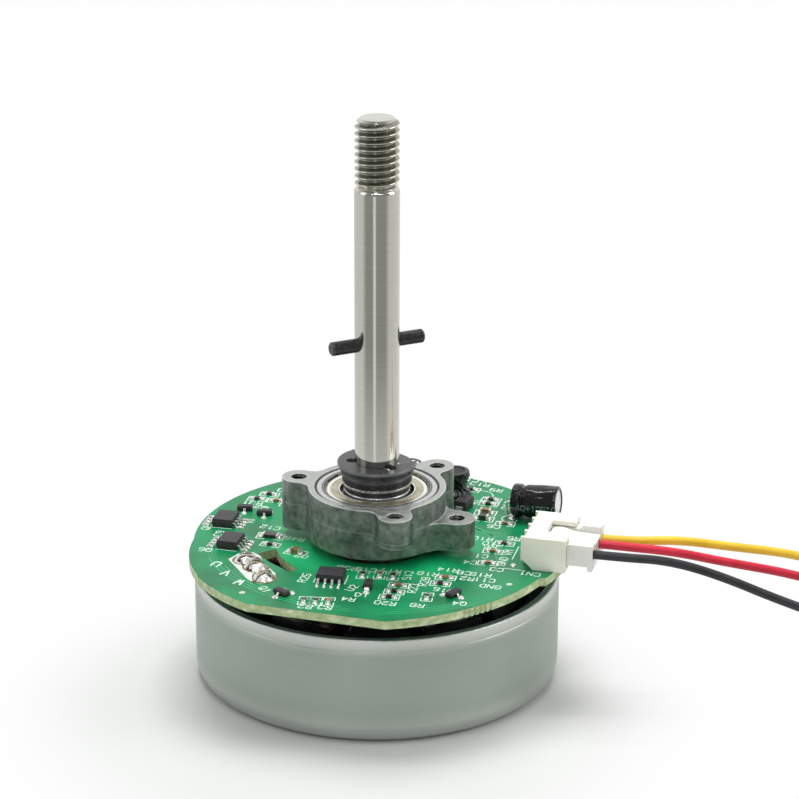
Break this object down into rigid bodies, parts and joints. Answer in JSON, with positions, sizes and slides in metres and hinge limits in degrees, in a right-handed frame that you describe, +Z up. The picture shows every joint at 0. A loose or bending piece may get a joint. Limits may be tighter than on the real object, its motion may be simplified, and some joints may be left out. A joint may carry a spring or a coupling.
{
  "type": "brushless dc motor",
  "caption": "Outer-rotor brushless motor with a long threaded shaft, die-cast bearing housing, round driver board and plugged leads.",
  "frame": {"origin": "centre of the rotor can's closed bottom, on the shaft's axis", "axes": "+Z up along the shaft from the closed bottom to the threaded end, +X towards the side where the leads leave"},
  "size_m": [0.2017, 0.0707, 0.1037],
  "materials": {
    "die_cast": "satin cast",
    "bearing_steel": "ground",
    "shield_steel": "satin",
    "spring_wire": "satin",
    "laminations": "matte",
    "black_nylon": "matte",
    "copper_winding": "glossy enamel",
    "green_board": "semi-gloss solder mask",
    "solder": "glossy",
    "cream_nylon": "satin",
    "plug_nylon": "satin",
    "tinned_metal": "satin",
    "black_insulation": "satin",
    "red_insulation": "satin",
    "yellow_insulation": "satin",
    "tinned_copper": "satin",
    "capacitor_aluminium": "satin",
    "black_sleeve": "glossy",
    "black_moulding": "matte",
    "resistor_black": "matte",
    "capacitor_brown": "matte",
    "can_steel": "satin plated",
    "ferrite": "matte",
    "shaft_steel": "ground",
    "black_steel": "blackened",
    "cage_nylon": "matte"
  },
  "bodies": {
    "stator": {"bearing_housing": "die_cast", "black_wire": "black_insulation", "chip_capacitors": "capacitor_brown", "chip_end_caps": "solder", "chip_resistors": "resistor_black", "choke_core": "ferrite", "choke_sleeve": "black_sleeve", "circuit_board": "green_board", "connector_header": "cream_nylon", "controller_chip": "black_moulding", "controller_leads": "tinned_metal", "crimp_terminals": "tinned_metal", "diode_leads": "tinned_metal", "diodes": "black_moulding", "hall_sensors": "black_moulding", "header_pins": "tinned_metal", "lower_bearing_shields": "shield_steel", "lower_insulator": "black_nylon", "lower_outer_ring": "bearing_steel", "lying_capacitor_can": "capacitor_aluminium", "lying_capacitor_leads": "tinned_metal", "lying_capacitor_sleeve": "black_sleeve", "mosfet_chips": "black_moulding", "mosfet_leads": "tinned_metal", "plug_housing": "plug_nylon", "red_wire": "red_insulation", "shield_snap_rings": "spring_wire", "solder_joints": "solder", "stator_coils": "copper_winding", "stator_core": "laminations", "transistor_leads": "tinned_metal", "transistors": "black_moulding", "upper_bearing_shields": "shield_steel", "upper_insulator": "black_nylon", "upper_outer_ring": "bearing_steel", "upright_capacitor_can": "capacitor_aluminium", "upright_capacitor_sleeve": "black_sleeve", "winding_leads": "copper_winding", "wire_tips": "tinned_copper", "yellow_wire": "yellow_insulation"},
    "rotor": {"rotor_can": "can_steel", "rotor_hub": "can_steel", "magnet_ring": "ferrite", "shaft": "shaft_steel", "cross_pin": "black_steel", "e_clip": "black_steel", "upper_washer": "black_steel", "lower_washer": "black_steel", "steel_shim": "bearing_steel", "spacer_ring": "black_steel", "upper_inner_ring": "bearing_steel", "lower_inner_ring": "bearing_steel"},
    "upper_bearing_cage": {"upper_cage": "cage_nylon", "upper_balls": "bearing_steel"},
    "lower_bearing_cage": {"lower_cage": "cage_nylon", "lower_balls": "bearing_steel"}
  },
  "joints": [
    {"name": "rotor_spin", "type": "hinge", "parent": "stator", "child": "rotor", "pos_m": [0, 0, 0.01], "axis": [0, 0, 1], "continuous": true},
    {"name": "upper_cage_spin", "type": "hinge", "parent": "stator", "child": "upper_bearing_cage", "pos_m": [0, 0, 0.0319], "axis": [0, 0, 1], "continuous": true},
    {"name": "lower_cage_spin", "type": "hinge", "parent": "stator", "child": "lower_bearing_cage", "pos_m": [0, 0, 0.008], "axis": [0, 0, 1], "continuous": true}
  ],
  "couplings": [
    {"joint": "upper_cage_spin", "follows": "rotor_spin", "ratio": 0.3677},
    {"joint": "lower_cage_spin", "follows": "rotor_spin", "ratio": 0.4091}
  ]
}
